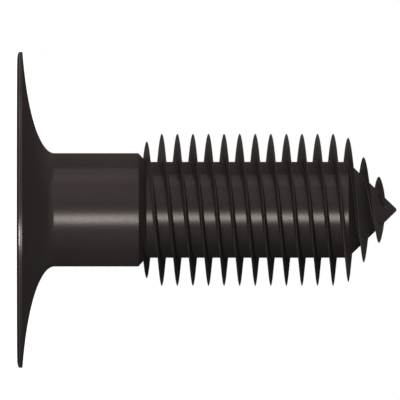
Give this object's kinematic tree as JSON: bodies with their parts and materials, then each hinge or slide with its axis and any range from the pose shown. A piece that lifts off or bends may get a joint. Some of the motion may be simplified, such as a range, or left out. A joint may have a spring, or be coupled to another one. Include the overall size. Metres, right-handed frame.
{
  "type": "drywall screw",
  "caption": "Stout drywall screw with a wide flat bugle head, a cross recess, a plain shank and a fine helical thread that closes on a sharp point; fixes board to a frame.",
  "frame": {"origin": "centre of the head's flat top face, which the screw stands on", "axes": "+Z along the screw's axis from the head to the point; the recess's wings lie along X and Y"},
  "size_m": [0.008, 0.008, 0.0096],
  "materials": {
    "black_steel": "black phosphate on hardened carbon steel, lightly oiled, satin"
  },
  "bodies": {
    "root": {"screw": "black_steel"}
  },
  "joints": []
}
